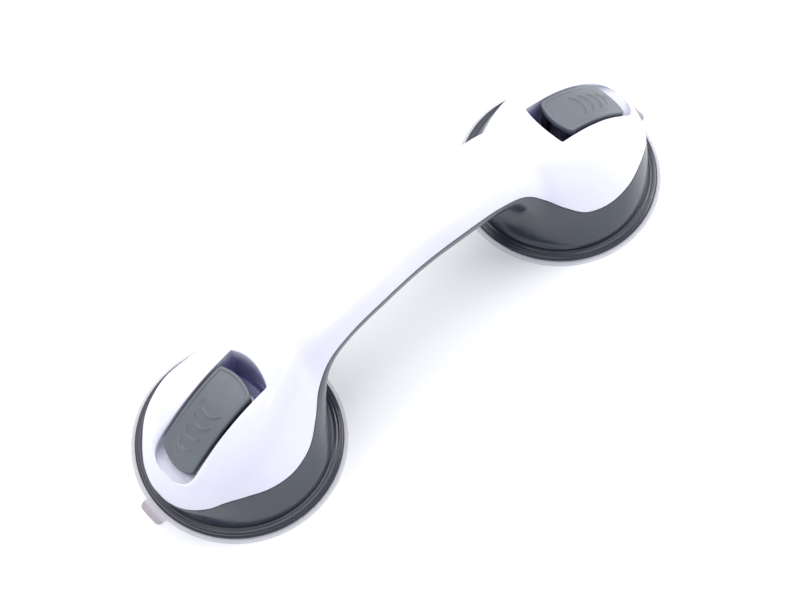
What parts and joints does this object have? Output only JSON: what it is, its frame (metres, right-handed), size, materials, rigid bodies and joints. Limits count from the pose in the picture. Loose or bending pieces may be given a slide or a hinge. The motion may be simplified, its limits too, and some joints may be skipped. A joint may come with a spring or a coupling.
{
  "type": "suction grab bar",
  "caption": "Bridge-shaped grab bar in a white upper and grey lower shell, held by lever-locked clear suction cups at its ends",
  "frame": {"origin": "on the plane the suction cups seal to, midway between the two heads", "axes": "+X runs along the handle from the left head to the right, +Z points away from the wall or floor, Y is across the handle"},
  "size_m": [0.3, 0.0962, 0.075],
  "materials": {
    "white_shell": "glossy white moulded ABS",
    "grey_shell": "glossy dark grey moulded ABS",
    "grey_ring": "glossy dark grey moulded ABS, stepped edge",
    "lever_grey": "satin mid grey moulded plastic with raised grip arcs",
    "clear_cup": "clear soft PVC with a faint pink tint",
    "stem": "black acetal",
    "steel": "dark zinc-plated steel"
  },
  "bodies": {
    "root": {"upper_shell": "white_shell", "lower_shell": "grey_shell", "left_base_ring": "grey_ring", "left_suction_cup": "clear_cup", "left_cam_plate": "steel", "left_screw_1": "steel", "left_screw_2": "steel", "left_screw_3": "steel", "left_screw_4": "steel", "right_base_ring": "grey_ring", "right_suction_cup": "clear_cup", "right_cam_plate": "steel", "right_screw_1": "steel", "right_screw_2": "steel", "right_screw_3": "steel", "right_screw_4": "steel"},
    "left_stem": {"left_pull_stem": "stem"},
    "left_lever": {"left_lever": "lever_grey", "left_lever_pin": "steel"},
    "right_stem": {"right_pull_stem": "stem"},
    "right_lever": {"right_lever": "lever_grey", "right_lever_pin": "steel"}
  },
  "joints": [
    {"name": "left_stem_slide", "type": "slide", "parent": "root", "child": "left_stem", "axis": [0, 0, -1], "range_m": [0, 0.004], "deforming": ["left_suction_cup"]},
    {"name": "left_lever_hinge", "type": "hinge", "parent": "left_stem", "child": "left_lever", "pos_m": [-0.098, 0, 0.0475], "axis": [0, 1, 0], "range_deg": [0, 75]},
    {"name": "right_stem_slide", "type": "slide", "parent": "root", "child": "right_stem", "axis": [0, 0, -1], "range_m": [0, 0.004], "deforming": ["right_suction_cup"]},
    {"name": "right_lever_hinge", "type": "hinge", "parent": "right_stem", "child": "right_lever", "pos_m": [0.098, 0, 0.0475], "axis": [0, -1, 0], "range_deg": [0, 75]}
  ],
  "couplings": [
    {"joint": "left_lever_hinge", "follows": "left_stem_slide", "rad_per_m": 327},
    {"joint": "right_lever_hinge", "follows": "right_stem_slide", "rad_per_m": 327}
  ]
}
